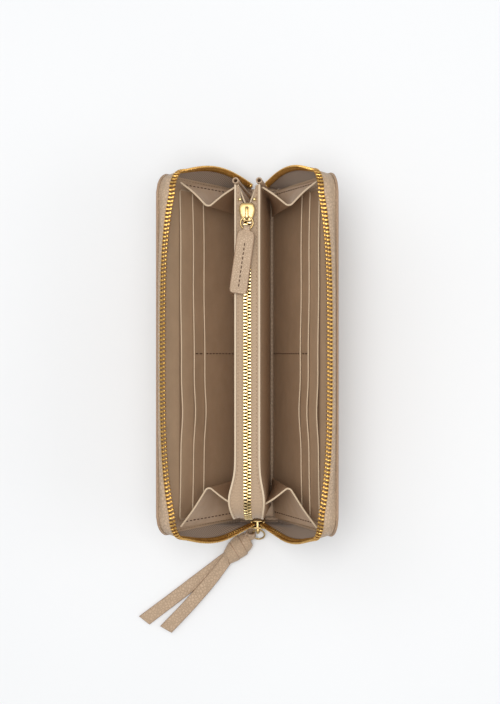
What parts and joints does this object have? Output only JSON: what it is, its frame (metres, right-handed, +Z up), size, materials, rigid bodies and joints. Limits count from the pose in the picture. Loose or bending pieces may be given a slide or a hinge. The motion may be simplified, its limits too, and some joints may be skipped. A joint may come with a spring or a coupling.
{
  "type": "zip around wallet",
  "caption": "Long zip-around wallet standing open on its spine: hinged covers, card pockets, zipped coin pocket, folding gussets and a knotted strap pull.",
  "frame": {"origin": "middle of the spine's underside, the face the wallet stands on", "axes": "+Z up out of the open wallet, +Y along the spine towards the end where the coin zip's slider rests, +X across to the right cover"},
  "size_m": [0.1183, 0.2654, 0.1015],
  "materials": {
    "leather": "pebbled grain leather, satin",
    "lining": "smooth thin leather, matt",
    "zip_tape": "woven ribbed tape",
    "board": "plain fibre board",
    "antique_brass": "antique, darkened between the teeth",
    "polished_brass": "polished pale gold"
  },
  "bodies": {
    "core": {"spine_leather": "leather", "spine_lining": "lining", "coin_wall_left": "leather", "coin_wall_right": "leather", "coin_floor": "lining", "coin_end_wall": "leather", "coin_end_gusset": "lining", "coin_binding_left": "leather", "coin_binding_right": "leather", "coin_tape_left": "zip_tape", "coin_tape_right": "zip_tape", "coin_teeth_left": "polished_brass", "coin_teeth_right": "polished_brass", "coin_top_stop_left": "polished_brass", "coin_top_stop_right": "polished_brass", "coin_bottom_stop": "polished_brass", "gusset_left_back": "lining", "gusset_left_front": "lining", "gusset_right_back": "lining", "gusset_right_front": "lining", "zip_foot_tape_left": "zip_tape", "zip_foot_tape_right": "zip_tape", "zip_foot_teeth_left": "antique_brass", "zip_foot_teeth_right": "antique_brass", "zip_bottom_stop": "antique_brass"},
    "left_cover": {"cover_left_leather": "leather", "cover_left_board": "board", "cover_left_lining": "lining", "slip_pocket_left": "lining", "card_slots_back_left": "lining", "card_slots_front_left": "lining", "zip_tape_left": "zip_tape", "zip_teeth_left": "antique_brass", "zip_top_stop_left": "antique_brass"},
    "right_cover": {"cover_right_leather": "leather", "cover_right_board": "board", "cover_right_lining": "lining", "slip_pocket_right": "lining", "card_slots_back_right": "lining", "card_slots_front_right": "lining", "zip_tape_right": "zip_tape", "zip_teeth_right": "antique_brass", "zip_top_stop_right": "antique_brass"},
    "coin_slider": {"coin_slider": "polished_brass"},
    "coin_ring": {"coin_pull_ring": "polished_brass"},
    "coin_tab": {"coin_pull_tab": "leather"},
    "zip_slider": {"zip_slider": "polished_brass"},
    "zip_ring": {"zip_pull_ring": "polished_brass"},
    "zip_strap": {"zip_pull_strap": "leather"}
  },
  "joints": [
    {"name": "left_cover_hinge", "type": "hinge", "parent": "core", "child": "left_cover", "pos_m": [-0.0114, 0, 0.0015], "axis": [0, -1, 0], "range_deg": [-21.3, 0], "deforming": ["gusset_left_back", "gusset_left_front", "zip_foot_tape_left", "zip_foot_teeth_left"]},
    {"name": "right_cover_hinge", "type": "hinge", "parent": "core", "child": "right_cover", "pos_m": [0.0114, 0, 0.0015], "axis": [0, 1, 0], "range_deg": [-21.3, 0], "deforming": ["gusset_right_back", "gusset_right_front", "zip_foot_tape_right", "zip_foot_teeth_right"]},
    {"name": "coin_slider_slide", "type": "slide", "parent": "core", "child": "coin_slider", "axis": [0, -1, 0], "range_m": [0, 0.142]},
    {"name": "coin_ring_swing", "type": "hinge", "parent": "coin_slider", "child": "coin_ring", "pos_m": [0, 0.0721, 0.093], "axis": [-1, 0, 0], "range_deg": [0, 110]},
    {"name": "coin_tab_swing", "type": "hinge", "parent": "coin_ring", "child": "coin_tab", "pos_m": [0, 0.0655, 0.093], "axis": [-0.9903, 0.1392, 0], "range_deg": [0, 60]},
    {"name": "zip_slider_slide", "type": "slide", "parent": "core", "child": "zip_slider", "axis": [0, 0, 1], "range_m": [0, 0.012], "deforming": ["zip_foot_tape_left", "zip_foot_tape_right", "zip_foot_teeth_left", "zip_foot_teeth_right"]},
    {"name": "zip_ring_swing", "type": "hinge", "parent": "zip_slider", "child": "zip_ring", "pos_m": [0, -0.10095, 0.0084], "axis": [-1, 0, 0], "range_deg": [0, 70]},
    {"name": "zip_strap_swing", "type": "hinge", "parent": "zip_ring", "child": "zip_strap", "pos_m": [-0.0035, -0.10375, 0.0063], "axis": [0, 0.8, 0.6], "range_deg": [0, 45]}
  ]
}
